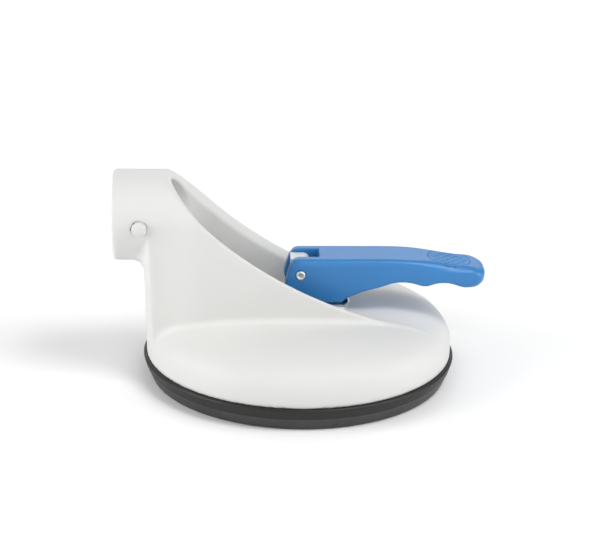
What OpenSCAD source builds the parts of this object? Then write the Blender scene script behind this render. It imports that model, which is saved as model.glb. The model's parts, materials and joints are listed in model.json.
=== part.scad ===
// One vacuum suction foot of a modular grab bar, clamped down.
// +X points along the lever to its tip, the tube socket opens towards -X, +Z points away
// from the wall or floor that the foot is clamped to, and z = 0 is the sealing lip.

/* [Suction foot] */
// Outer diameter of the rubber pad
pad_d = 120; // [110:1:130]
// Diameter of the white housing at its rim
rim_d = 117.2; // [115:0.2:118]
// Height of the rim's lower edge above the surface
rim_z = 9; // [8.6:0.1:9.4]
// Height of the housing's dome above the surface
dome_top = 28; // [27.8:0.1:28.2]
// Height of the raised deck under the slide plate
deck_z = 30.1; // [29.9:0.1:30.3]
// Wall thickness of the housing at its rim
wall = 3.3; // [2.8:0.1:3.6]
// Wall thickness of the housing at its crown
crown_t = 2.4; // [2.2:0.1:2.6]

/* [Tube socket] */
// Bore diameter of the socket, for a 30 mm tube
bore_d = 30.2; // [30.1:0.1:30.6]
// Outer diameter of the socket
collar_d = 34.5; // [34.2:0.1:35]
// Height of the tube's axis above the surface
axis_z = 63.45; // [62:0.05:65]
// Distance from the pad's axis to the socket's mouth
collar_x = 71; // [69:0.5:72]
// Diameter of the release button
button_d = 5.6; // [5:0.1:6]
// How far the button stands out of the socket
button_out = 2; // [1.5:0.1:2.5]

/* [Ramp] */
// Outer width across the two ramp walls
ramp_w = 40.6; // [40:0.2:42]
// Width of the channel between the ramp walls
channel_w = 34; // [33:0.5:34.5]
// Distance from the pad's axis to the centre of the channel's round end
channel_x = 32; // [31:0.5:33]

/* [Lever] */
// Height of the pivot pin above the surface with the lever down
pivot_z = 42.3; // [42.1:0.1:42.5]
// Pivot pin diameter
pin_d = 3.7; // [3.6:0.1:4]
// Width of the lever
lever_w = 19; // [18:0.5:20]
// Width of the slot in the lever's fork
slot_w = 9; // [8.8:0.1:9.2]
// Stroke of the pull rod over the lever's quarter turn
stroke = 5.3; // [5:0.1:5.4]

/* [Inside] */
// Pull rod diameter
rod_d = 8; // [7.6:0.2:8]
// Diameter of the pad's stiff centre
centre_d = 44; // [40:1:46]
// Thickness of the rubber
rubber_t = 3; // [2.5:0.5:3]
// Number of clamp ring screws
screw_n = 6; // [6:1:6]

/* [Hidden] */
$fn = 96;
eps = 0.01;
white = [0.93, 0.93, 0.92];
steel = [0.66, 0.68, 0.70];
rubber = [0.13, 0.13, 0.13];
blue = [0.24, 0.50, 0.78];

// Housing
rim_r = rim_d / 2;
shoulder_z = rim_z + 0.5;        // where the dome's round shoulder starts
skirt_r = rim_r - wall;          // inner radius of the skirt
ceiling_z = dome_top - crown_t;  // underside of the crown
seat_z = ceiling_z - 1.15;       // underside of the spring's seat
dome_steps = 18;
deck_x0 = -16;
deck_x1 = 17.3;
deck_w = 25;
deck_corner = 3;
ramp_r = ramp_w / 2;
collar_r = collar_d / 2;
bore_r = bore_d / 2;
stop_r = 13.2;                   // opening through the tube's stop
stop_x = -38;                    // and where it has run out into the channel
seat_x = -50.9;                  // the tube's end stops here
left_r = 59.4;                   // the end wall under the socket follows this circle
flare_x0 = -53;                  // the socket starts to widen into the ramp walls here
flare_x1 = -36;                  // and has their full width here
ramp_top = [-51.3, axis_z + collar_r];
ramp_pull = [-16.1, 37.6];       // control point of the ramp's curve
ramp_end = [43, 24.8];
boss_r = 9;
boss_z = 20;                     // lower end of the rod's guide boss
guide_r = 6;                     // outer radius of the guide bush
guide_head_r = 8.5;
guide_head_t = 1.5;
rib_t = 2.4;
rib_n = 6;
rib_r = 15;                      // the ribs start at this radius
rib_z = rim_z + 9;
post_r = 4;
post_h = 20;
screw_ring_r = 50;               // the clamp ring screws lie on this circle
pilot_r = 1.3;                   // pilot hole of every screw
pilot_h = 11;
core_r = 53;                     // inner radius of the core in the end wall
core_t = 2.9;
core_w = 26;
core_top = 43;
socket_chamfer = 0.8;

// Clamp ring and rubber pad
ring_t = 2.8;
ring_z = rim_z - ring_t;
ring_in_r = 44;
ring_out_r = 58.2;
hook_r = 56.8;                   // the rubber hooks over the clamp ring's edge from here
hook_t = 1.1;
pad_r = pad_d / 2;
lip_out_r = 56.6;                // outer edge of the sealing face
lip_in_r = 51;                   // inner edge of the sealing face
mem_out_r = 46.5;
mem_z = 1.5;                     // underside of the membrane at its outer edge
centre_r = centre_d / 2;
centre_z = 9.5;                  // underside of the pad's centre, pulled up

// Pull rod and what rides on it
rod_r = rod_d / 2;
plate_z = centre_z + rubber_t;
plate_t = 2;
nut_z = plate_z + plate_t + 0.8;
nut_t = 3.4;
foot_r = 9;                      // flange at the rod's lower end
foot_t = 2;
neck_r = 2.9;                    // thinner upper end inside the rod head
neck_z = 37;
head_w = 8;
head_x0 = -3.6;
head_x1 = 3.8;
head_top = 46.9;
pin_r = pin_d / 2;
spacer_t = 0.35;
spacer_r = 3.4;
plate_x0 = -13;                  // slide plate
plate_w = 21.6;
plate_screw_x = -9.6;
plate_screw_y = 5.4;
plate_screw_l = 3;
screw_r = 1.25;                  // thread radius of every screw

// Lever
cam_h = pivot_z - (deck_z + 1) - 0.05;    // pivot to slide plate, lever down
cam_rate = stroke * 180 / (90 * PI);      // cam rise in millimetres a radian
slot_x = 7.2;
tip_x = collar_x;                // the lever ends as far out as the socket
grip_x = 57.3;
grip_z = 46.2;
grip_tilt = 9;
grip_l = 16.4;
grip_w = 14.4;
grip_t = 0.9;

// Release button
button_x = -60.7;
leaf_x0 = -64.2;
leaf_x1 = -52.6;
leaf_w = 6;
leaf_t = 0.5;
leaf_y = bore_r + 0.15;          // inner face of the leaf, just clear of the bore
leaf_fix_x = -54.4;
rivet_r = 0.8;
rivet_l = 0.8;                   // how far the fixed rivet reaches into the socket's wall

// A point of a quadratic curve from a to c, pulled towards b
function bend(a, b, c, t) = (1 - t) * (1 - t) * a + 2 * t * (1 - t) * b + t * t * c;
function bend_points(a, b, c, n) = [for (i = [0:n]) bend(a, b, c, i / n)];

// Height of the dome at radius r: a flat crown and a tight round shoulder
function dome_z(r) = shoulder_z
    + (dome_top - shoulder_z) * pow(max(0, 1 - pow(r / rim_r, 3.8)), 1 / 3.6);

// The cam's outline about the pivot, at the lever's tilt a: its support falls with the tilt
function cam_h_at(a) = cam_h - cam_rate * a * PI / 180;
function cam_point(a) = [-cam_h_at(a) * sin(a) + cam_rate * cos(a),
                         pivot_z - cam_h_at(a) * cos(a) - cam_rate * sin(a)];

module along_x(x0, x1, r0, r1) {
    translate([x0, 0, axis_z]) rotate([0, 90, 0]) cylinder(h = x1 - x0, r1 = r0, r2 = r1);
}

module tube_ring(r_in, r_out, z0, z1) {
    translate([0, 0, z0]) difference() {
        cylinder(h = z1 - z0, r = r_out);
        translate([0, 0, -1]) cylinder(h = z1 - z0 + 2, r = r_in);
    }
}

// Turns a piece's Z axis to point out of the socket's near side, at x
module out_of_socket(x) {
    translate([x, 0, axis_z]) rotate([90, 0, 0]) children();
}

// A cross-section in X and Z, drawn across the part's width w
module side_slab(w) {
    translate([0, w / 2, 0]) rotate([90, 0, 0]) linear_extrude(height = w) children();
}

module dome_outside() {
    steps = [for (i = [0:dome_steps]) rim_r * sin(90 * i / dome_steps)];
    rotate_extrude()
        polygon(concat([[0, rim_z], [rim_r, rim_z]],
                       [for (i = [dome_steps:-1:0]) [steps[i], dome_z(steps[i])]]));
}

module dome_hollow() {
    k = skirt_r / rim_r;
    inner = [for (i = [0:dome_steps]) skirt_r * sin(90 * i / dome_steps)];
    rotate_extrude()
        polygon(concat([[0, rim_z - 1], [skirt_r, rim_z - 1]],
                       [for (i = [dome_steps:-1:0]) [inner[i], dome_z(inner[i] / k) - crown_t]]));
}

module ramp_profile() {
    polygon(concat([[ramp_end[0], rim_z + 4], [-collar_x + 4, rim_z + 4],
                    [-collar_x + 4, ramp_top[1]]],
                   bend_points(ramp_top, ramp_pull, ramp_end, 24)));
}

module ramp_plan() {
    polygon([[-60, collar_r], [flare_x0, collar_r], [flare_x1, ramp_r], [ramp_end[0], ramp_r],
             [ramp_end[0], -ramp_r], [flare_x1, -ramp_r], [flare_x0, -collar_r],
             [-60, -collar_r]]);
}

module ramp_block() {
    intersection() {
        side_slab(60) ramp_profile();
        union() {
            along_x(flare_x0 - 4, flare_x0, collar_r, collar_r);
            along_x(flare_x0, flare_x1, collar_r, ramp_r);
            along_x(flare_x1, ramp_end[0], ramp_r, ramp_r);
            intersection() {
                translate([0, 0, rim_z + 3]) linear_extrude(height = axis_z - rim_z - 3)
                    ramp_plan();
                cylinder(h = axis_z, r = left_r);
            }
        }
    }
}

module collar_outside() {
    lip = 1.6;
    along_x(-collar_x + lip, flare_x0, collar_r, collar_r);
    translate([-collar_x, 0, axis_z]) rotate([0, 90, 0]) rotate_extrude()
        polygon(concat([[0, 0]],
                       [for (a = [0:15:90]) [collar_r - lip + lip * sin(a), lip - lip * cos(a)]],
                       [[0, lip]]));
}

// The channel is cut down into the dome's height, so that the dome is its floor
module channel() {
    translate([0, 0, dome_top - 6]) linear_extrude(height = 76) union() {
        translate([-channel_x, 0]) circle(d = channel_w);
        translate([-channel_x, -channel_w / 2]) square([100, channel_w]);
    }
}

// The bore stops the tube at a small shoulder and then opens into the channel
module bore() {
    along_x(-collar_x - 1, seat_x, bore_r, bore_r);
    along_x(seat_x - 1, stop_x, stop_r, stop_r);
    along_x(-collar_x - eps, -collar_x + socket_chamfer, bore_r + socket_chamfer, bore_r);
}

module leaf_pocket() {
    translate([leaf_x0 - 0.4, -leaf_y - leaf_t - 0.25, axis_z - leaf_w / 2 - 0.3])
        cube([leaf_x1 - leaf_x0 + 0.8, 3, leaf_w + 0.6]);
}

module at_screws() {
    for (i = [0:screw_n - 1])
        rotate([0, 0, 360 * (i + 0.5) / screw_n]) translate([screw_ring_r, 0, 0]) children();
}

module underside_frame() {
    intersection() {
        union() {
            translate([0, 0, boss_z]) cylinder(h = dome_top - boss_z, r = boss_r);
            for (i = [0:rib_n - 1])
                rotate([0, 0, 360 * i / rib_n]) translate([rib_r, -rib_t / 2, rib_z])
                    cube([rim_r - rib_r - 3, rib_t, dome_top - rib_z]);
            at_screws() translate([0, 0, rim_z]) cylinder(h = post_h, r = post_r);
        }
        dome_outside();
    }
}

// The flat deck under the slide plate stands up from the channel's floor
module deck() {
    z0 = dome_top - 1;
    h = deck_z - z0;
    middle = (deck_x0 + deck_x1) / 2;
    length = deck_x1 - deck_x0;
    translate([middle, 0, z0 + h / 2]) {
        cube([length - 2 * deck_corner, deck_w, h], center = true);
        cube([length, deck_w - 2 * deck_corner, h], center = true);
        for (x = [-1, 1], y = [-1, 1])
            translate([x * (length / 2 - deck_corner), y * (deck_w / 2 - deck_corner), 0])
                cylinder(h = h, r = deck_corner, center = true);
    }
}

// The end wall below the socket is cored out from below
module end_core() {
    intersection() {
        rotate_extrude() translate([core_r, rim_z]) square([core_t, core_top - rim_z]);
        translate([-core_r - 10, -core_w / 2, 0]) cube([30, core_w, axis_z]);
    }
}

module housing() {
    color(white) difference() {
        union() {
            difference() {
                union() {
                    dome_outside();
                    deck();
                    difference() {
                        union() {
                            ramp_block();
                            collar_outside();
                        }
                        channel();
                    }
                }
                dome_hollow();
            }
            underside_frame();
        }
        bore();
        end_core();
        leaf_pocket();
        out_of_socket(button_x) cylinder(h = 30, d = button_d + 0.4);
        out_of_socket(leaf_fix_x) cylinder(h = leaf_y + rivet_l + 0.6, r = rivet_r + 0.05);
        translate([0, 0, boss_z - 1]) cylinder(h = 20, r = guide_r);
        translate([0, 0, deck_z - guide_head_t]) cylinder(h = 5, r = guide_head_r);
        at_screws() translate([0, 0, rim_z - 1]) cylinder(h = pilot_h + 1, r = pilot_r);
        plate_screw_places() translate([0, 0, -plate_screw_l - 0.1]) cylinder(h = 6, r = pilot_r);
    }
}

module clamp_ring() {
    color(steel) difference() {
        tube_ring(ring_in_r, ring_out_r, ring_z, rim_z);
        tube_ring(hook_r, ring_out_r + 2, rim_z - hook_t, rim_z + 1);
        at_screws() translate([0, 0, ring_z - 1]) cylinder(h = 6, r = 1.7);
        at_screws() translate([0, 0, ring_z - eps]) cylinder(h = 1.6, r1 = 3.2, r2 = 1.6);
    }
}

// Countersunk screw with its head's face at z = 0, pointing up
module screw(length) {
    cylinder(h = 1.5, r1 = 3, r2 = 1.5);
    cylinder(h = length, r = screw_r);
}

module clamp_screws() {
    color(steel) at_screws() translate([0, 0, ring_z + 0.05]) difference() {
        screw(11);
        for (a = [0, 90])
            rotate([0, 0, a]) translate([-1.6, -0.35, -1]) cube([3.2, 0.7, 1.7]);
    }
}

module pad_rim() {
    color(rubber) rotate_extrude()
        polygon([[pad_r, rim_z - 0.5], [pad_r - 0.4, rim_z], [hook_r, rim_z],
                 [hook_r, rim_z - hook_t], [ring_out_r, rim_z - hook_t], [ring_out_r, ring_z],
                 [mem_out_r, ring_z], [mem_out_r, mem_z], [lip_in_r, 0], [lip_out_r, 0],
                 [pad_r - 1.2, rim_z / 2]]);
}

module pad_membrane() {
    color(rubber) rotate_extrude()
        polygon([[mem_out_r, mem_z], [mem_out_r, mem_z + rubber_t],
                 [centre_r, centre_z + rubber_t], [centre_r, centre_z]]);
}

module pad_centre() {
    color(rubber) difference() {
        translate([0, 0, centre_z]) cylinder(h = rubber_t, r = centre_r);
        translate([0, 0, plate_z - foot_t]) cylinder(h = foot_t + 1, r = foot_r);
    }
}

module pad_plate() {
    color(steel) tube_ring(rod_r + 0.05, centre_r - 1, plate_z, plate_z + plate_t);
}

module pull_rod() {
    color(steel) difference() {
        union() {
            translate([0, 0, plate_z - foot_t]) cylinder(h = foot_t, r = foot_r);
            translate([0, 0, plate_z - 0.5]) cylinder(h = neck_z - plate_z + 0.5, r = rod_r);
            translate([0, 0, neck_z - 0.5]) cylinder(h = head_top - neck_z - 1.5, r = neck_r);
        }
        pin_hole(0.02);
    }
}

module rod_washer() {
    color(steel) tube_ring(rod_r + 0.2, 8, plate_z + plate_t, nut_z);
}

module rod_nut() {
    color(steel) difference() {
        translate([0, 0, nut_z]) cylinder(h = nut_t, r = 7.5, $fn = 6);
        translate([0, 0, nut_z - 1]) cylinder(h = nut_t + 2, r = rod_r + 0.01);
    }
}

// A round wire wound from z0 to z1
module coil(r, wire_r, z0, z1, turns) {
    sides = 8;
    per_turn = 20;
    n = turns * per_turn;
    points = [for (i = [0:n], k = [0:sides - 1])
        let (a = 360 * i / per_turn, b = 360 * k / sides, s = r + wire_r * cos(b))
        [s * cos(a), s * sin(a), z0 + (z1 - z0) * i / n + wire_r * sin(b)]];
    walls = [for (i = [0:n - 1], k = [0:sides - 1])
        let (m = (k + 1) % sides)
        [i * sides + k, (i + 1) * sides + k, (i + 1) * sides + m, i * sides + m]];
    start = [for (k = [0:sides - 1]) k];
    end = [for (k = [sides - 1:-1:0]) n * sides + k];
    polyhedron(points = points, faces = concat([start], walls, [end]));
}

module release_spring() {
    wire_r = 0.8;
    color(steel) coil(11.3, wire_r, plate_z + plate_t + wire_r + 0.02,
                      seat_z - wire_r - 0.02, 4);
}

module spring_seat() {
    color(steel) tube_ring(boss_r + 0.1, 13, seat_z, seat_z + 1);
}

module guide_bush() {
    color(white) difference() {
        union() {
            translate([0, 0, boss_z]) cylinder(h = deck_z - boss_z, r = guide_r);
            translate([0, 0, deck_z - guide_head_t]) cylinder(h = guide_head_t, r = guide_head_r);
        }
        translate([0, 0, boss_z - 1]) cylinder(h = 20, r = rod_r + 0.06);
        translate([0, 0, boss_z + 3]) cylinder(h = 1.8, r = rod_r + 1.7);
    }
}

module rod_seal() {
    color(rubber) translate([0, 0, boss_z + 3.9]) rotate_extrude()
        translate([rod_r + 0.87, 0]) circle(r = 0.8, $fn = 24);
}

module plate_screw_places() {
    for (y = [-plate_screw_y, plate_screw_y])
        translate([plate_screw_x, y, deck_z]) children();
}

module slide_plate() {
    color(steel) difference() {
        side_slab(plate_w)
            polygon([[plate_x0, deck_z], [deck_x1, deck_z], [deck_x1 + 1.6, deck_z + 1.6],
                     [deck_x1 + 0.9, deck_z + 2.3], [deck_x1 - 0.4, deck_z + 1],
                     [plate_x0, deck_z + 1]]);
        translate([0, 0, deck_z - 1]) cylinder(h = 4, r = rod_r + 0.6);
        plate_screw_places() translate([0, 0, -1]) cylinder(h = 4, r = 1.5);
        plate_screw_places() translate([0, 0, 0.25]) cylinder(h = 0.8, r1 = 1.5, r2 = 2.3);
    }
}

module plate_screws() {
    color(steel) plate_screw_places() difference() {
        union() {
            translate([0, 0, -plate_screw_l]) cylinder(h = plate_screw_l + 0.9, r = screw_r);
            translate([0, 0, 0.3]) cylinder(h = 0.6, r1 = 1.5, r2 = 2.1);
        }
        translate([-1.2, -0.3, 0.4]) cube([2.4, 0.6, 1]);
    }
}

module pin_hole(gap) {
    translate([0, 30, pivot_z]) rotate([90, 0, 0]) cylinder(h = 60, r = pin_r + gap);
}

module rod_head() {
    nose = 2.6;
    length = head_x1 - head_x0;
    height = head_top - neck_z - 0.1;
    color(white) difference() {
        side_slab(head_w) union() {
            translate([head_x0, neck_z + 0.1]) square([length - nose, height]);
            translate([head_x0, neck_z + 0.1]) square([length, height - nose]);
            translate([head_x1 - nose, head_top - nose]) circle(r = nose);
        }
        translate([0, 0, neck_z - 1]) cylinder(h = head_top - neck_z - 0.9, r = neck_r);
        pin_hole(0.02);
    }
}

module pivot_pin() {
    color(steel) difference() {
        translate([0, lever_w / 2 + 0.35, pivot_z]) rotate([90, 0, 0])
            cylinder(h = lever_w + 0.7, r = pin_r);
        for (s = [-1, 1])
            translate([0, s * (lever_w / 2 + 0.4), pivot_z]) rotate([90, 0, 0])
                cylinder(h = 3, r = 0.8, center = true);
    }
}

module pivot_spacers() {
    color(steel) for (s = [-1, 1])
        translate([0, s * (head_w / 2 + 0.05 + spacer_t / 2), pivot_z]) rotate([90, 0, 0])
            difference() {
                cylinder(h = spacer_t, r = spacer_r, center = true);
                cylinder(h = 2, r = pin_r + 0.03, center = true);
            }
}

// Side outline of the lever: cam heel, arched underside, round tip and flat top
module lever_profile() {
    polygon(concat(
        [for (a = [90:-7.5:0]) cam_point(a)],
        [[15.6, pivot_z - cam_h]],
        bend_points([16.4, 31.7], [19.5, 34.7], [30, 37.3], 6),
        bend_points([34, 38.7], [38, 40], [43, 39], 4),
        bend_points([45, 38.4], [47.6, 37.4], [50.4, 38.5], 4),
        bend_points([52, 39], [56, 39.7], [59.5, 38.4], 4),
        bend_points([63, 37.1], [66.8, 36.4], [69, 37.8], 5),
        bend_points([70.3, 38.7], [tip_x, 39.9], [tip_x, 41], 3),
        bend_points([tip_x, 41.6], [tip_x, 43.4], [67.8, 44.5], 5),
        bend_points([66, 45.1], [64, 45.5], [60, 45.85], 3),
        bend_points([53, 46.9], [44, 48.35], [31, 48.4], 6),
        [[-0.6, 48.3], [-2.3, 47.8], [-4.1, 45.5]]));
}

module grip_shape(grow, h) {
    reach = (grip_l - grip_w) / 2;
    translate([grip_x, 0, grip_z]) rotate([0, grip_tilt, 0]) translate([0, 0, -grip_t]) union() {
        for (s = [-1, 1])
            translate([s * reach, 0, 0]) cylinder(h = h, r = grip_w / 2 + grow);
        translate([-reach, -grip_w / 2 - grow, 0]) cube([2 * reach, grip_w + 2 * grow, h]);
    }
}

module lever() {
    color(blue) difference() {
        side_slab(lever_w) lever_profile();
        translate([-20, -slot_w / 2, 20]) cube([20 + slot_x, slot_w, 40]);
        pin_hole(0.05);
        grip_shape(0.05, 4);
    }
}

module thumb_grip() {
    color(blue) {
        grip_shape(0, grip_t - 0.35);
        translate([grip_x, 0, grip_z]) rotate([0, grip_tilt, 0])
            for (i = [-2:2])
                translate([-4, i * 2 - 0.4, -0.36]) cube([8, 0.8, 0.4]);
    }
}

module release_button() {
    dome = 0.9;
    color(white) translate([button_x, -leaf_y - leaf_t, axis_z]) rotate([90, 0, 0])
        difference() {
            union() {
                cylinder(h = collar_r + button_out - leaf_y - leaf_t - dome, d = button_d);
                translate([0, 0, collar_r + button_out - leaf_y - leaf_t - dome]) rotate_extrude()
                    polygon(concat([[0, 0]],
                                   [for (a = [0:15:90]) [(button_d / 2) * cos(a), dome * sin(a)]]));
            }
            translate([0, 0, -1]) cylinder(h = 2.4, r = rivet_r);
        }
}

module button_leaf() {
    color(steel) difference() {
        translate([leaf_x0, -leaf_y - leaf_t, axis_z - leaf_w / 2])
            cube([leaf_x1 - leaf_x0, leaf_t, leaf_w]);
        for (x = [button_x, leaf_fix_x])
            out_of_socket(x) cylinder(h = 30, r = rivet_r + 0.05);
    }
}

module rivet(x, length) {
    out_of_socket(x) translate([0, 0, leaf_y]) cylinder(h = leaf_t + length, r = rivet_r);
}

module button_rivet() {
    color(steel) rivet(button_x, 1.3);
}

module leaf_rivet() {
    color(steel) rivet(leaf_fix_x, rivet_l);
}

housing();
clamp_ring();
clamp_screws();
pad_rim();
pad_membrane();
pad_centre();
pad_plate();
pull_rod();
rod_washer();
rod_nut();
release_spring();
spring_seat();
guide_bush();
rod_seal();
slide_plate();
plate_screws();
rod_head();
pivot_pin();
pivot_spacers();
lever();
thumb_grip();
release_button();
button_leaf();
button_rivet();
leaf_rivet();
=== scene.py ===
"""Looks of one vacuum suction foot of a modular grab bar.

It has a white housing, a black pad and a blue cam lever. Lengths in the shape code are
millimetres. Smooth moulded pieces are fields: functions that give the distance to the surface,
negative inside. solid_from_field() turns a field into a mesh.
"""
import json
import math

import bpy
import numpy as np
from mathutils import Matrix, Vector


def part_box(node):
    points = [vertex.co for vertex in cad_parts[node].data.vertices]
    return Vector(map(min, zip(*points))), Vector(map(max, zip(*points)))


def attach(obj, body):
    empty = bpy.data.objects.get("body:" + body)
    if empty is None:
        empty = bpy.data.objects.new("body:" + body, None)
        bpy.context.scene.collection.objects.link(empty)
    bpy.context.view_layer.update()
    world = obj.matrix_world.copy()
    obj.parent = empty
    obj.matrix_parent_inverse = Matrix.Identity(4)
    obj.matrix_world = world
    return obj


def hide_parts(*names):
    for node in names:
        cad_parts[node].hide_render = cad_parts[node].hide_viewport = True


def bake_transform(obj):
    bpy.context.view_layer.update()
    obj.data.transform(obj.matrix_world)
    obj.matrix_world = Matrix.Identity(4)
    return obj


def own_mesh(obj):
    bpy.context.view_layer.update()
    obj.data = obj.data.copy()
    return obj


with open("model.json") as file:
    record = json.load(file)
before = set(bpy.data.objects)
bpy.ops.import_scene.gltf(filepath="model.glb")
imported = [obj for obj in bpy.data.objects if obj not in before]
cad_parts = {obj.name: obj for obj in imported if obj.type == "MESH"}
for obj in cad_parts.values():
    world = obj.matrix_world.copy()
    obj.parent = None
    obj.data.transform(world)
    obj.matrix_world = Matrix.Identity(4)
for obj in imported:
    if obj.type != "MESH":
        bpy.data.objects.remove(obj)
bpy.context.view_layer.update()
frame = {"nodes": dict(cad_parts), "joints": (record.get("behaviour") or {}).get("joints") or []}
MM = 0.001


def span(node):
    """Lowest and highest corners of a CAD node, in millimetres."""
    low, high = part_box(node)
    return np.array(low) / MM, np.array(high) / MM


def middle(node):
    low, high = span(node)
    return (low + high) / 2


PLATE_LIP = 1.6  # how far the slide plate's upturned end passes the deck

# Places taken from the frame
PAD_R = span("pad_rim")[1][0]
RIM_Z = span("pad_rim")[1][2]
DECK_Z = span("slide_plate")[0][2]
DECK_X1 = span("slide_plate")[1][0] - PLATE_LIP
AXIS_Z = middle("release_button")[2]
COLLAR_R = span("housing")[1][2] - AXIS_Z
COLLAR_X = -span("housing")[0][0]
BUTTON_X = middle("release_button")[0]
PIVOT_Z = middle("pivot_pin")[2]
PIN_R = (span("pivot_pin")[1] - span("pivot_pin")[0])[0] / 2
LEVER_HALF = span("lever")[1][1]
LEVER_TIP = span("lever")[1][0]

# Housing
RIM_R = PAD_R - 1.4
DOME_TOP = DECK_Z - 2.1
WALL = 3.3
CROWN_T = 2.4
BORE_R = 15.1
STOP_R = 13.2
SEAT_X = -50.9
RAMP_R = 20.3
FLARE_X = (-53.0, -36.0)
CHANNEL_R = 17.0
CHANNEL_X = -32.0
DECK_X0 = -16.0
DECK_R = 12.5
RAMP_TOP = (-51.3, AXIS_Z + COLLAR_R)
RAMP_PULL = (-16.1, 37.6)
RAMP_END = (43.0, 24.8)
BOSS_R = 9.0
BOSS_Z = 20.0
SKIRT_Z = -20  # the dome's field runs down past the rim, which is cut level
INSET = 0.02  # keeps the rounded collar inside the CAD's box
SIDE_DRAFT = 0.012
END_GAP, END_DRAFT = 0.05, 0.03
MOUTH_BEVEL = 0.8
STOP_END_X = -38
HOLE_R = 2.72

# Bevel on the channel's inner edge, growing from nothing at its start
BEVEL_DEEP, BEVEL_WIDE = 2.5, 2.3
BEVEL_X, BEVEL_GROW = -50, 14

# Radii of the housing's rounded edges and fillets
END_EDGE = 0.9
MOUTH_EDGE = 1.6
CREST_EDGE = 0.7
CHANNEL_EDGE = 0.3
BEVEL_EDGE = 0.4
BASE_FILLET = 2.2
NECK_FILLET = 4.5
DECK_CORNER, DECK_EDGE, DECK_FILLET = 3, 0.3, 0.5
BORE_EDGE = 0.35
RIM_EDGE = 0.3

# Inside of the housing
POST_RING, POST_R, PILOT_R, PILOT_Z = 50, 4, 1.3, 20
RIB_HALF, RIB_FROM_R, RIB_RISE = 1.2, 15, 9
POCKET_X, POCKET_HALF_X, POCKET_HALF_Z, POCKET_Y = -58.4, 6.2, 3.3, -16.0
CORE_R, CORE_HALF, CORE_SIDE, CORE_Z = 54.45, 1.45, 13, 43
GUIDE_R, GUIDE_HEAD_R, GUIDE_HEAD_T = 6, 8.5, 1.5


# ---- fields -------------------------------------------------------------------------------

def round_join(a, b, r):
    """Both solids together, with a fillet of radius r where they meet."""
    u = np.maximum(r - a, 0)
    v = np.maximum(r - b, 0)
    return np.maximum(r, np.minimum(a, b)) - np.hypot(u, v)


def round_meet(a, b, r):
    """What both solids share, with the edge rounded to radius r."""
    return -round_join(-a, -b, r)


def round_cut(a, b, r):
    """The first solid without the second, with the edge rounded to radius r."""
    return round_meet(a, -b, r)


def ease(t):
    t = np.clip(t, 0, 1)
    return t * t * (3 - 2 * t)


def bend(a, b, c, n):
    """Points of a quadratic curve from a to c, pulled towards b."""
    a, b, c = (np.array(p, float) for p in (a, b, c))
    return [(1 - t) ** 2 * a + 2 * t * (1 - t) * b + t * t * c for t in np.linspace(0, 1, n)]


def outline_field(points, margin=16.0, step=0.2):
    """Signed distance to a closed outline in two coordinates, read from a fine table."""
    p = np.array(points, float)
    low, high = p.min(0) - margin, p.max(0) + margin
    count = np.ceil((high - low) / step).astype(int) + 1
    u = (low[0] + step * np.arange(count[0]))[:, None]
    v = (low[1] + step * np.arange(count[1]))[None, :]
    best = np.full(count, 1e9)
    inside = np.zeros(count, bool)
    for a, b in zip(p, np.roll(p, -1, 0)):
        e = b - a
        if e @ e < 1e-12:
            continue
        t = np.clip(((u - a[0]) * e[0] + (v - a[1]) * e[1]) / (e @ e), 0, 1)
        best = np.minimum(best, (u - a[0] - t * e[0]) ** 2 + (v - a[1] - t * e[1]) ** 2)
        if a[1] != b[1]:
            inside ^= ((a[1] > v) != (b[1] > v)) & (u < a[0] + (v - a[1]) * e[0] / e[1])
    table = np.sqrt(best) * np.where(inside, -1.0, 1.0)

    def look_up(x, y):
        s = np.clip((x - low[0]) / step, 0, count[0] - 1.001)
        t = np.clip((y - low[1]) / step, 0, count[1] - 1.001)
        i, j = s.astype(int), t.astype(int)
        s, t = s - i, t - j
        return ((table[i, j] * (1 - s) + table[i + 1, j] * s) * (1 - t)
                + (table[i, j + 1] * (1 - s) + table[i + 1, j + 1] * s) * t)

    return look_up


# ---- meshes -------------------------------------------------------------------------------

def net_of_field(field, low, high, step):
    """Corner points and four-sided faces of the field's zero surface."""
    axes = [np.arange(a - 1.5 * step, b + 2.5 * step, step) for a, b in zip(low, high)]
    grid = np.broadcast_to(field(axes[0][:, None, None], axes[1][None, :, None],
                                 axes[2][None, None, :]), [len(a) for a in axes])
    full = grid < 0
    corners = [(i, j, k) for i in (0, 1) for j in (0, 1) for k in (0, 1)]
    shape = [n - 1 for n in grid.shape]

    def shifted(array, c):
        return array[c[0]:c[0] + shape[0], c[1]:c[1] + shape[1], c[2]:c[2] + shape[2]]

    count = sum(shifted(full, c).astype(np.int8) for c in corners)
    cells = np.argwhere((count > 0) & (count < 8))
    number = np.full(shape, -1)
    number[tuple(cells.T)] = np.arange(len(cells))
    value = {c: grid[tuple((cells + c).T)] for c in corners}
    total, hits = np.zeros((len(cells), 3)), np.zeros(len(cells))
    for a in corners:
        for axis in range(3):
            if a[axis]:
                continue
            b = tuple(1 if n == axis else a[n] for n in range(3))
            cross = (value[a] < 0) != (value[b] < 0)
            t = value[a] / np.where(cross, value[a] - value[b], 1)
            total[cross] += a
            total[cross, axis] += t[cross]
            hits += cross
    points = np.array([a[0] for a in axes]) + step * (cells + total / hits[:, None])
    faces = []
    for axis in range(3):
        u, v = (axis + 1) % 3, (axis + 2) % 3
        near = [slice(1, -1)] * 3
        far = [slice(1, -1)] * 3
        near[axis], far[axis] = slice(0, -1), slice(1, None)
        leaving = full[tuple(near)] & ~full[tuple(far)]
        entering = ~full[tuple(near)] & full[tuple(far)]
        for mask, flip in ((leaving, False), (entering, True)):
            at = np.argwhere(mask) + [0 if n == axis else 1 for n in range(3)]
            ring = []
            for du, dv in ((1, 1), (0, 1), (0, 0), (1, 0)):
                c = at.copy()
                c[:, u] -= du
                c[:, v] -= dv
                ring.append(number[tuple(c.T)])
            faces.append(np.stack(ring[::-1] if flip else ring, 1))
    return points, np.concatenate(faces)


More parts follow.
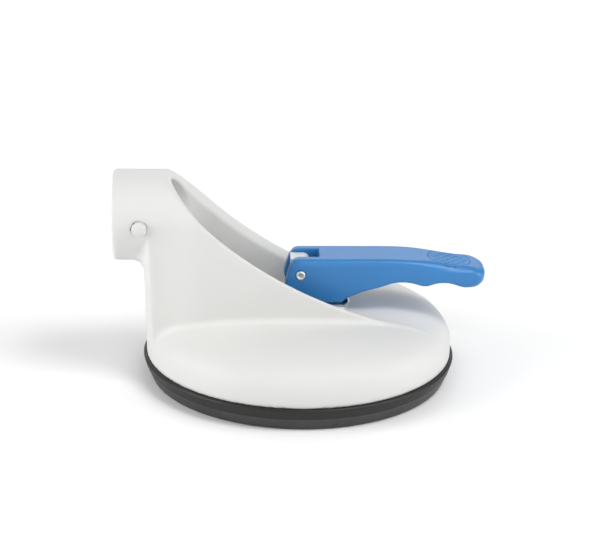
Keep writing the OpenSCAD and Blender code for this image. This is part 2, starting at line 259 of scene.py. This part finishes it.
def pull_to_field(points, field, step):
    """Moves each point onto the field's zero surface, along its slope."""
    h = 0.02
    for _ in range(2):
        x, y, z = points.T
        value = field(x, y, z)
        slope = np.stack([field(x + h, y, z) - field(x - h, y, z),
                          field(x, y + h, z) - field(x, y - h, z),
                          field(x, y, z + h) - field(x, y, z - h)], 1) / (2 * h)
        size = np.maximum((slope ** 2).sum(1), 0.25)
        move = np.clip(value / size, -0.5 * step, 0.5 * step)
        points = points - slope * move[:, None]
    return points


def new_object(name, points, faces):
    mesh = bpy.data.meshes.new(name)
    mesh.from_pydata((np.array(points) * MM).tolist(), [], np.array(faces).tolist()
                     if isinstance(faces, np.ndarray) else faces)
    mesh.update()
    mesh.shade_smooth()
    obj = bpy.data.objects.new(name, mesh)
    bpy.context.scene.collection.objects.link(obj)
    return obj


def solid_from_field(name, field, low, high, step):
    points, faces = net_of_field(field, low, high, step)
    points = pull_to_field(points, field, step)
    pairs = np.concatenate([faces[:, [n, (n + 1) % 4]] for n in range(4)])
    both = np.concatenate([pairs, pairs[:, ::-1]])
    degree = np.bincount(both[:, 0], minlength=len(points))[:, None]
    for _ in range(2):
        mean = np.stack([np.bincount(both[:, 0], points[both[:, 1], n], len(points))
                         for n in range(3)], 1) / degree
        points = pull_to_field(points * 0.5 + mean * 0.5, field, step)
    return new_object(name, points, faces)


def lathe(name, outline, turns=192):
    """A closed outline of (radius, height) pairs turned about the Z axis."""
    p = np.array(outline, float)
    a = np.arange(turns) * 2 * math.pi / turns
    points = np.stack([np.outer(np.cos(a), p[:, 0]), np.outer(np.sin(a), p[:, 0]),
                       np.broadcast_to(p[:, 1], (turns, len(p)))], 2).reshape(-1, 3)
    n = len(p)
    faces = [(i * n + k, ((i + 1) % turns) * n + k, ((i + 1) % turns) * n + (k + 1) % n,
              i * n + (k + 1) % n) for i in range(turns) for k in range(n)]
    return new_object(name, points, faces)


def rounded(outline, radii, n=6):
    """The closed outline with its corners rounded, each to its own radius."""
    p = [np.array(q, float) for q in outline]
    made = []
    for i, c in enumerate(p):
        a, b = p[i - 1] - c, p[(i + 1) % len(p)] - c
        la, lb = np.linalg.norm(a), np.linalg.norm(b)
        cut = min(radii[i], 0.45 * la, 0.45 * lb)
        if cut <= 0:
            made.append(c)
            continue
        made += bend(c + a / la * cut, c, c + b / lb * cut, n)
    return made


# ---- housing ------------------------------------------------------------------------------

def dome_height(r, rim):
    shoulder = RIM_Z + 0.5
    return shoulder + (DOME_TOP - shoulder) * np.clip(1 - (r / rim) ** 3.8, 0, 1) ** (1 / 3.6)


def dome_outline(rim, drop):
    """Half-round outline of the dome with its skirt, from rim to rim."""
    r = rim * np.sin(np.linspace(-math.pi / 2, math.pi / 2, 161))
    arc = [(a, dome_height(abs(a), rim) - drop) for a in r]
    return [(-rim, SKIRT_Z)] + arc + [(rim, SKIRT_Z)]


def make_housing():
    dome = outline_field(dome_outline(RIM_R, 0))
    hollow = outline_field(dome_outline(RIM_R - WALL, CROWN_T))
    up = np.array(RAMP_TOP) + (np.array(RAMP_TOP) - RAMP_PULL) * 0.4
    ramp = outline_field([(-100, -30), (RAMP_END[0] + 30, -30), (RAMP_END[0] + 30, 8)]
                         + bend(RAMP_END, RAMP_PULL, RAMP_TOP, 90) + [tuple(up), (-100, up[1])])
    deck_mid, deck_half = (DECK_X0 + DECK_X1) / 2, (DECK_X1 - DECK_X0) / 2

    def field(x, y, z):
        r = np.hypot(x, y)
        side = np.abs(y)
        tube = np.hypot(y, z - AXIS_Z)
        flare = ease((x - FLARE_X[0]) / (FLARE_X[1] - FLARE_X[0]))
        half = COLLAR_R - INSET + (RAMP_R - COLLAR_R) * flare
        below = np.maximum(AXIS_Z - z, 0)
        flank = np.maximum(side - half - SIDE_DRAFT * below, z - AXIS_Z)
        end = r - (RIM_R + END_GAP + END_DRAFT * (z - RIM_Z))
        flank = round_meet(flank, end, END_EDGE)
        neck = NECK_FILLET * np.clip((AXIS_Z - 4 - z) / 10, 0, 1) + 1e-6
        body = round_join(tube - half, flank, neck)
        body = round_meet(body, -COLLAR_X - x, MOUTH_EDGE)
        crest = ramp(x, z)
        body = round_meet(body, crest, CREST_EDGE)
        channel = np.maximum(np.hypot(np.minimum(x - CHANNEL_X, 0), y) - CHANNEL_R,
                             DOME_TOP - 6 - z)
        share = ease((x - BEVEL_X) / BEVEL_GROW)
        bevel = ((crest / BEVEL_DEEP - channel / BEVEL_WIDE + share)
                 / math.hypot(1 / BEVEL_DEEP, 1 / BEVEL_WIDE))
        body = round_meet(round_cut(body, channel, CHANNEL_EDGE), bevel, BEVEL_EDGE)
        base = BASE_FILLET * ease((z - 15) / 8) + 1e-6
        body = round_join(body, dome(r, z), base)
        deck = np.hypot(np.maximum(np.abs(x - deck_mid) - deck_half + DECK_CORNER, 0),
                        np.maximum(side - DECK_R + DECK_CORNER, 0)) - DECK_CORNER
        deck = np.maximum(round_meet(deck, z - DECK_Z, DECK_EDGE), DOME_TOP - 1 - z)
        body = round_join(body, deck, DECK_FILLET)
        body = np.maximum(body, -hollow(r, z))
        posts = np.stack([np.hypot(x - POST_RING * math.cos(a), y - POST_RING * math.sin(a))
                          for a in np.radians(np.arange(30, 360, 60))]).min(0)
        ribs = np.stack([np.abs(x * math.sin(a) - y * math.cos(a))
                         for a in np.radians((0, 60, 120))]).min(0)
        ribs = np.maximum(np.maximum(ribs - RIB_HALF, RIB_FROM_R - r), RIM_Z + RIB_RISE - z)
        frame_in = np.minimum(np.minimum(ribs, np.maximum(posts - POST_R, RIM_Z - z)),
                              np.maximum(r - BOSS_R, BOSS_Z - z))
        body = np.minimum(body, np.maximum(frame_in, dome(r, z) + 0.5))
        seat = np.maximum(tube - BORE_R, x - SEAT_X)
        mouth = tube - BORE_R - MOUTH_BEVEL + (x + COLLAR_X)
        inner = np.maximum(tube - STOP_R, x - STOP_END_X)
        bore = np.minimum(np.minimum(seat, inner), np.maximum(mouth, x + COLLAR_X - 1))
        body = round_cut(body, bore, BORE_EDGE)
        hole = np.maximum(np.hypot(x - BUTTON_X, z - AXIS_Z) - HOLE_R, y)
        pocket = np.maximum(np.maximum(np.abs(x - POCKET_X) - POCKET_HALF_X,
                                       np.abs(z - AXIS_Z) - POCKET_HALF_Z),
                            np.maximum(POCKET_Y - y, y))
        core = np.maximum(np.maximum(np.abs(r - CORE_R) - CORE_HALF, side - CORE_SIDE),
                          np.maximum(z - CORE_Z, x))
        guide = np.minimum(np.maximum(r - GUIDE_R, BOSS_Z - 1 - z),
                           np.maximum(r - GUIDE_HEAD_R, DECK_Z - GUIDE_HEAD_T - z))
        pilot = np.maximum(posts - PILOT_R, z - PILOT_Z)
        for cut in (hole, pocket, core, guide, pilot):
            body = np.maximum(body, -cut)
        return round_meet(body, RIM_Z - z, RIM_EDGE)

    low, high = span("housing")
    return solid_from_field("housing_shell", field, low, high, 0.8)


# ---- lever --------------------------------------------------------------------------------

STROKE = next(j["range_m"][1] for j in frame["joints"] if j["name"] == "rod_slide") / MM
CAM_RATE = STROKE / (math.pi / 2)
PLATE_TOP = 1.05  # height of the cam's lowest line above the deck
CAM_H = PIVOT_Z - DECK_Z - PLATE_TOP
SLOT_X, SLOT_HALF = 7.2, 4.5
PIN_GAP = 0.05
TIP_OVER = 0.13  # the outline passes the tip by what rounding its edges takes off
PLAN_OVER, PLAN_R = 2.4, 8.4
EDGE_BELOW, EDGE_GAIN, EDGE_TIP = 0.9, 1.6, 3.4


def cam_point(a):
    h = CAM_H - CAM_RATE * a
    return (-h * math.sin(a) + CAM_RATE * math.cos(a),
            PIVOT_Z - h * math.cos(a) - CAM_RATE * math.sin(a))


def lever_outline():
    """Side outline: cam heel, arched underside, round tip and flat top."""
    tip = LEVER_TIP + TIP_OVER
    return ([cam_point(a) for a in np.linspace(math.pi / 2, 0, 40)]
            + [(15.6, PIVOT_Z - CAM_H)]
            + bend((16.4, 31.7), (19.5, 34.7), (30, 37.3), 24)
            + bend((34, 38.7), (38, 40), (43, 39), 16)
            + bend((45, 38.4), (47.6, 37.4), (50.4, 38.5), 16)
            + bend((52, 39), (56, 39.7), (59.5, 38.4), 16)
            + bend((63, 37.1), (66.8, 36.4), (69, 37.8), 16)
            + bend((70.3, 38.7), (tip, 39.9), (tip, 41), 10)
            + bend((tip, 41.6), (tip, 43.4), (67.8, 44.5), 14)
            + bend((66, 45.1), (64, 45.5), (60, 45.85), 10)
            + bend((53, 46.9), (44, 48.35), (31, 48.4), 24)
            + [(-0.6, 48.3), (-2.3, 47.8), (-4.1, 45.5)])


GRIP_X, GRIP_Z, GRIP_TILT = 57.3, 46.2, math.radians(9)
GRIP_REACH, GRIP_R = 0.9, 7.3
GRIP_FLOOR_Z, GRIP_T, RECESS_T, RECESS_GAP = 42, 1.1, 1.15, 0.05

# Staggered dashes on the thumb grip
ROW, HALF_PITCH = 1.9, 1.5
DASH_REACH, DASH_R, DASH_RISE = 0.65, 0.42, 0.2


def grip_oval(x, y, z):
    """Coordinate along the thumb grip, and distance to its oval edge."""
    along = (x - GRIP_X) * math.cos(GRIP_TILT) - (z - GRIP_Z) * math.sin(GRIP_TILT)
    return along, np.hypot(np.maximum(np.abs(along) - GRIP_REACH, 0), y) - GRIP_R


def lever_bar():
    """The lever before its slot, pin hole and thumb recess: crisp below, well rounded above."""
    side = outline_field(lever_outline(), margin=6, step=0.1)

    def field(x, y, z):
        plan = round_meet(np.abs(y) - LEVER_HALF, x - LEVER_TIP - PLAN_OVER, PLAN_R)
        high = ease((z - 41) / 4)
        edge = EDGE_BELOW + EDGE_GAIN * high + EDGE_GAIN * high * ease((x - 40) / 14)
        tip = ease((x - 60) / 6)
        return round_meet(side(x, z), plan, edge + (EDGE_TIP - edge) * tip * (1 - 0.5 * high))

    return field


def make_lever():
    bar = lever_bar()

    def field(x, y, z):
        body = bar(x, y, z)
        slot = round_meet(np.abs(y) - SLOT_HALF, x - SLOT_X, 0.5)
        _, oval = grip_oval(x, y, z)
        recess = np.maximum(np.maximum(oval - RECESS_GAP, -RECESS_T - body), GRIP_FLOOR_Z - z)
        body = round_cut(body, slot, 0.35)
        pin = np.hypot(x, z - PIVOT_Z) - PIN_R - PIN_GAP
        body = round_cut(body, pin, 0.15)
        return round_cut(body, recess, 0.25)

    low, high = span("lever")
    return solid_from_field("lever_body", field, low, high, 0.4)


def make_grip():
    bar = lever_bar()

    def field(x, y, z):
        body = bar(x, y, z)
        along, oval = grip_oval(x, y, z)
        row = np.round(y / ROW)
        place = np.mod(along + np.mod(row, 2) * HALF_PITCH + HALF_PITCH,
                       2 * HALF_PITCH) - HALF_PITCH
        dash = np.hypot(np.maximum(np.abs(place) - DASH_REACH, 0), y - row * ROW) - DASH_R
        rise = DASH_RISE * ease(-dash / 0.35) * ease((-1.0 - oval) / 0.3)
        dish = 0.05 + 0.35 * ease(-oval / 5)
        under = np.maximum(oval, np.maximum(-GRIP_T - body, GRIP_FLOOR_Z - z))
        return round_meet(under, body + dish - rise, 0.12)

    low, high = span("thumb_grip")
    low[2] -= 2.0  # the drawn pad sits deeper than the CAD's
    return solid_from_field("thumb_pad", field, low, high, 0.22)


def make_pin():
    """The pivot pin: rounded ends, each with a deep centre hole."""
    half = span("pivot_pin")[1][1]
    deep, round_r = 1.6, 0.5
    end = [(0.01, half - deep), (0.62, half - deep), (0.66, half - 0.25), (0.95, half - 0.02)]
    crown = [(PIN_R - round_r + round_r * math.sin(a), half - round_r + round_r * math.cos(a))
             for a in np.linspace(0, math.pi / 2, 7)]
    top = end + crown
    outline = top + [(r, -z) for r, z in reversed(top)]
    obj = lathe("pin_shaft", outline, 64)
    turn = Matrix.Rotation(math.radians(90), 4, "X")
    obj.matrix_world = Matrix.Translation((0, 0, PIVOT_Z * MM)) @ turn
    return obj


# ---- rubber pad ---------------------------------------------------------------------------

MEMBRANE_R, MEMBRANE_Z = 46.5, 1.5
RUBBER_T = 3.0
CENTRE_R = span("pad_centre")[1][0]
CENTRE_Z = span("pad_centre")[0][2]
HOOK_R, HOOK_T = 56.8, 1.1
RING_R, RING_Z = 58.2, span("clamp_ring")[0][2]


def make_pad_rim():
    outline = [(PAD_R, RIM_Z - 0.7), (PAD_R - 0.5, RIM_Z), (HOOK_R, RIM_Z),
               (HOOK_R, RIM_Z - HOOK_T), (RING_R, RIM_Z - HOOK_T), (RING_R, RING_Z),
               (MEMBRANE_R, RING_Z),
               (MEMBRANE_R, MEMBRANE_Z), (51, 0), (52.2, 0), (52.6, 0.5), (53.2, 0.5), (53.6, 0),
               (56.2, 0), (57.0, 0.5), (58.5, 4.3), (58.9, 4.8)]
    radii = [0.5, 0.4, 0, 0, 0, 0, 0, 0, 0.5, 0.2, 0.2, 0.2, 0.2, 0.3, 0.6, 0.35, 0.5]
    return lathe("pad_edge", rounded(outline, radii))


def make_pad_membrane():
    outer, inner = (MEMBRANE_R, MEMBRANE_Z), (CENTRE_R, CENTRE_Z)
    under = []
    for t in np.linspace(0, 1, 61):
        r = outer[0] + t * (inner[0] - outer[0])
        wave = 0.35 * max(0, math.sin(t * 6 * math.pi)) * ease(t * 8) * ease((1 - t) * 8)
        under.append((r, outer[1] + t * (inner[1] - outer[1]) + wave))
    drop, reach = inner[1] - outer[1], outer[0] - inner[0]
    over = [(r, outer[1] + RUBBER_T + drop * (outer[0] - r) / reach)
            for r in np.linspace(inner[0], outer[0], 13)]
    return lathe("pad_skin", under + over)


def make_pad_centre():
    outline = [(0.01, CENTRE_Z), (4, CENTRE_Z), (4.4, CENTRE_Z + 0.4), (5, CENTRE_Z + 0.4),
               (5.4, CENTRE_Z), (CENTRE_R, CENTRE_Z), (CENTRE_R, CENTRE_Z + RUBBER_T),
               (9, CENTRE_Z + RUBBER_T), (9, CENTRE_Z + 1), (0.01, CENTRE_Z + 1)]
    return lathe("pad_middle", outline)


# ---- small pieces -------------------------------------------------------------------------

def make_button():
    low, high = span("release_button")
    r, inner, face = (high[0] - low[0]) / 2, high[1], low[1]
    dome = 0.9
    cap = [(r * math.cos(a), -face - dome + dome * math.sin(a))
           for a in np.linspace(0.12, math.pi / 2 - 0.01, 14)]
    obj = lathe("snap_button", [(0.81, -inner), (r, -inner), (r, -face - dome)] + cap
                + [(0.01, -inner + 1.4), (0.81, -inner + 1.4)], 64)
    turn = Matrix.Rotation(math.radians(90), 4, "X")
    obj.matrix_world = Matrix.Translation((BUTTON_X * MM, 0, AXIS_Z * MM)) @ turn
    return obj


def make_spring():
    low, high = span("release_spring")
    wire, sides, turns, per_turn = 0.8, 14, 4.0, 48
    mean = high[0] - wire
    n = int(turns * per_turn)
    points, faces = [], []
    for i in range(n + 1):
        share = i / n
        rise = np.interp(share, [0, 0.19, 0.81, 1], [0.02, 0.16, 0.84, 0.98])
        z = low[2] + wire + (high[2] - low[2] - 2 * wire) * (rise - 0.02) / 0.96
        a = 2 * math.pi * share * turns
        for k in range(sides):
            b = 2 * math.pi * k / sides
            s = mean + wire * math.cos(b)
            points.append((s * math.cos(a), s * math.sin(a), z + wire * math.sin(b)))
    for i in range(n):
        for k in range(sides):
            m = (k + 1) % sides
            faces.append((i * sides + k, (i + 1) * sides + k, (i + 1) * sides + m, i * sides + m))
    faces.append(tuple(range(sides)))
    faces.append(tuple(n * sides + k for k in reversed(range(sides))))
    return new_object("coil_spring", points, faces)


# ---- materials ----------------------------------------------------------------------------

def material(name, colour, roughness, metallic=0.0, mottle=0.04, mottle_mm=9.0, grain=0.05,
             grain_mm=0.5, rough_spread=0.06, stretch=(1, 1, 1), specular=0.5, painted_shade=None):
    """A procedural finish: mottled colour, uneven roughness and fine grain.

    Its last argument, a band of painted shade, is (low, high, colour): between those heights the
    colour passes to the shade's darker colour.
    """
    mat = bpy.data.materials.new(name)
    mat.use_nodes = True
    nodes, links = mat.node_tree.nodes, mat.node_tree.links
    shader = nodes["Principled BSDF"]
    shader.inputs["Metallic"].default_value = metallic
    shader.inputs["Specular IOR Level"].default_value = specular
    where = nodes.new("ShaderNodeTexCoord")
    place = nodes.new("ShaderNodeMapping")
    place.inputs["Scale"].default_value = stretch
    links.new(where.outputs["Object"], place.inputs["Vector"])

    def noise(size_mm, detail):
        n = nodes.new("ShaderNodeTexNoise")
        n.inputs["Scale"].default_value = 1 / (size_mm * MM)
        n.inputs["Detail"].default_value = detail
        links.new(place.outputs["Vector"], n.inputs["Vector"])
        return n.outputs["Fac"]

    broad, fine = noise(mottle_mm, 3), noise(grain_mm, 4)
    ramp = nodes.new("ShaderNodeMapRange")
    ramp.inputs["From Min"].default_value, ramp.inputs["From Max"].default_value = 0.3, 0.7
    links.new(broad, ramp.inputs["Value"])
    mix = nodes.new("ShaderNodeMix")
    mix.data_type = "RGBA"
    links.new(ramp.outputs["Result"], mix.inputs["Factor"])
    mix.inputs["A"].default_value = [c * (1 - mottle) for c in colour] + [1]
    mix.inputs["B"].default_value = [min(1, c * (1 + mottle)) for c in colour] + [1]
    colour_out = mix.outputs["Result"]
    # Painted shade: above the band's heights the colour turns to the darker shade colour.
    if painted_shade is not None:
        parts = nodes.new("ShaderNodeSeparateXYZ")
        links.new(where.outputs["Object"], parts.inputs["Vector"])
        height = nodes.new("ShaderNodeMapRange")
        height.inputs["From Min"].default_value = painted_shade[0] * MM
        height.inputs["From Max"].default_value = painted_shade[1] * MM
        links.new(parts.outputs["Z"], height.inputs["Value"])
        band = nodes.new("ShaderNodeMix")
        band.data_type = "RGBA"
        links.new(height.outputs["Result"], band.inputs["Factor"])
        links.new(colour_out, band.inputs["A"])
        band.inputs["B"].default_value = [*painted_shade[2], 1]
        colour_out = band.outputs["Result"]
    links.new(colour_out, shader.inputs["Base Color"])
    rough = nodes.new("ShaderNodeMapRange")
    rough.inputs["To Min"].default_value = roughness - rough_spread
    rough.inputs["To Max"].default_value = roughness + rough_spread
    links.new(fine, rough.inputs["Value"])
    links.new(rough.outputs["Result"], shader.inputs["Roughness"])
    bump = nodes.new("ShaderNodeBump")
    bump.inputs["Strength"].default_value = 0.6
    bump.inputs["Distance"].default_value = grain * MM
    links.new(fine, bump.inputs["Height"])
    links.new(bump.outputs["Normal"], shader.inputs["Normal"])
    return mat


WHITE = material("white_moulding", (0.68, 0.68, 0.665), 0.55, mottle=0.012, mottle_mm=30,
                 grain=0.012, grain_mm=0.7, specular=0.35)
BLUE = material("blue_moulding", (0.028, 0.195, 0.49), 0.37, mottle=0.04, mottle_mm=14,
                grain=0.012, grain_mm=0.6)
BLUE_GRIP = material("blue_grip", (0.028, 0.195, 0.49), 0.42, mottle=0.05, mottle_mm=6,
                     grain=0.03)
RUBBER = material("black_rubber", (0.030, 0.031, 0.030), 0.5, mottle=0.15, mottle_mm=5,
                  grain=0.03)
# Painted shade: the rim's rubber turns much darker above about half the rim's height.
RUBBER_RIM_PAINTED_SHADE = material("black_rubber_rim_painted_shade", (0.036, 0.037, 0.036), 0.5, mottle=0.15, mottle_mm=5,
                      grain=0.03, painted_shade=(0.50 * RIM_Z, 0.56 * RIM_Z, (0.005, 0.006, 0.005)))
ROD_END = material("rod_end_white", (0.66, 0.73, 0.74), 0.4, mottle=0.02, grain=0.015)
ACETAL = material("bush_white", (0.74, 0.73, 0.68), 0.4, mottle=0.03, grain=0.015)
STEEL = material("bright_steel", (0.62, 0.63, 0.64), 0.26, metallic=1.0, mottle=0.06, mottle_mm=3,
                 grain=0.01, grain_mm=0.3, stretch=(1, 6, 1))
PIN_STEEL = material("pin_steel", (0.78, 0.79, 0.77), 0.36, metallic=1.0, mottle=0.02, grain=0.004)
ALLOY = material("cast_alloy", (0.55, 0.56, 0.57), 0.42, metallic=1.0, mottle=0.05, grain=0.03)


def dress(obj, mat):
    obj.data.materials.clear()
    obj.data.materials.append(mat)
    return obj


def add(obj, mat, body, slot, *nodes):
    dress(obj, mat)
    if body:
        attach(obj, body)
    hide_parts(*nodes)
    return obj


def soften(node, width):
    """Rounds a CAD piece's sharp edges a little."""
    bevel = frame["nodes"][node].modifiers.new("edge", "BEVEL")
    bevel.width = width * MM
    bevel.segments = 3
    bevel.limit_method = "ANGLE"
    bevel.angle_limit = math.radians(35)


# ---- build --------------------------------------------------------------------------------

add(make_housing(), WHITE, "foot", "white_plastic", "housing")
add(make_lever(), BLUE, "lever", "lever_plastic", "lever")
add(make_grip(), BLUE_GRIP, "lever", "grip_plastic", "thumb_grip")
add(make_pin(), PIN_STEEL, "rod", "bright_steel", "pivot_pin")
add(make_pad_rim(), RUBBER_RIM_PAINTED_SHADE, "foot", "pad_rubber", "pad_rim")
add(make_pad_centre(), RUBBER, "rod", "pad_rubber", "pad_centre")
add(make_button(), WHITE, "button", "white_plastic", "release_button")
skin = add(make_pad_membrane(), RUBBER, "foot", "pad_rubber", "pad_membrane")
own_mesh(skin)
spring = add(make_spring(), STEEL, None, "bright_steel", "release_spring")
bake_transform(spring)

CARRIED = {
    "clamp_ring": ALLOY, "clamp_screws": STEEL, "pad_plate": STEEL, "pull_rod": STEEL,
    "rod_washer": STEEL, "rod_nut": STEEL, "spring_seat": STEEL, "guide_bush": ACETAL,
    "rod_seal": RUBBER, "slide_plate": STEEL, "plate_screws": STEEL, "rod_head": ROD_END,
    "pivot_spacers": STEEL, "button_leaf": STEEL, "button_rivet": STEEL,
    "leaf_rivet": STEEL,
}
for node, mat in CARRIED.items():
    dress(frame["nodes"][node], mat)
for node, width in (("slide_plate", 0.2), ("rod_head", 0.5), ("pad_plate", 0.2),
                    ("clamp_ring", 0.3), ("guide_bush", 0.2)):
    soften(node, width)


# ---- stage --------------------------------------------------------------------------------

def make_floor():
    size = 4.0
    mesh = bpy.data.meshes.new("floor")
    mesh.from_pydata([(-size, -size, 0), (size, -size, 0), (size, size, 0), (-size, size, 0)], [],
                     [(0, 1, 2, 3)])
    floor = bpy.data.objects.new("floor", mesh)
    bpy.context.scene.collection.objects.link(floor)
    dress(floor, material("pale_floor", (0.98, 0.98, 0.98), 0.8, mottle=0.002, grain=0.0,
                          specular=0.1))


# Area lights: name, place, aim, size and power
LIGHTS = [
    ("key_box", (0.35, -0.3, 0.85), (0, 0, 0.03), (0.35, 0.35), 3.2),
    ("top_box", (0, -0.2, 0.95), (0, 0, 0.03), (0.5, 0.5), 0.5),
    ("left_box", (-1.0, -0.3, 0.4), (0, 0, 0.04), (0.6, 0.6), 7.0),
    ("right_box", (1.0, -0.3, 0.45), (0, 0, 0.04), (0.6, 0.6), 4.8),
    ("front_box", (0, -1.2, 0.35), (0, 0, 0.04), (0.8, 0.5), 1.9),
    ("back_box", (0, 1.2, 0.45), (0, 0, 0.04), (1.4, 0.5), 2.1),
    ("far_box", (0, 0.9, 0.6), (0, 0.95, 0), (1.6, 0.5), 4.0),
]


def area_light(name, place, aim, size, power):
    data = bpy.data.lights.new(name, "AREA")
    data.shape = "RECTANGLE"
    data.size, data.size_y = size
    data.energy = power
    obj = bpy.data.objects.new(name, data)
    bpy.context.scene.collection.objects.link(obj)
    obj.location = place
    obj.rotation_mode = "QUATERNION"
    obj.rotation_quaternion = (Vector(aim) - Vector(place)).to_track_quat("-Z", "Y")


def make_light():
    world = bpy.data.worlds.new("studio")
    bpy.context.scene.world = world
    world.use_nodes = True
    background = world.node_tree.nodes["Background"]
    background.inputs["Color"].default_value = (1, 1, 1, 1)
    background.inputs["Strength"].default_value = 0.30
    for light in LIGHTS:
        area_light(*light)


def make_camera():
    """The camera, placed by azimuth, elevation, roll, distance and target."""
    azimuth, elevation, roll = math.radians(-2.349), math.radians(20.37), math.radians(1.013)
    distance, target = 0.8, Vector((0.0001, 0, 0.04216))
    back = Vector((math.sin(azimuth) * math.cos(elevation),
                   -math.cos(azimuth) * math.cos(elevation), math.sin(elevation)))
    right = Vector((math.cos(azimuth), math.sin(azimuth), 0))
    up = back.cross(right)
    turned = right * math.cos(roll) + up * math.sin(roll)
    upright = back.cross(turned)
    data = bpy.data.cameras.new("camera")
    data.sensor_width = 36
    data.lens = 125.13
    data.clip_start, data.clip_end = 0.05, 20
    camera = bpy.data.objects.new("camera", data)
    bpy.context.scene.collection.objects.link(camera)
    pose = Matrix((turned, upright, back)).transposed().to_4x4()
    camera.matrix_world = Matrix.Translation(target + back * distance) @ pose
    bpy.context.scene.camera = camera


make_floor()
make_light()
make_camera()
bpy.context.scene.view_settings.view_transform = "Standard"
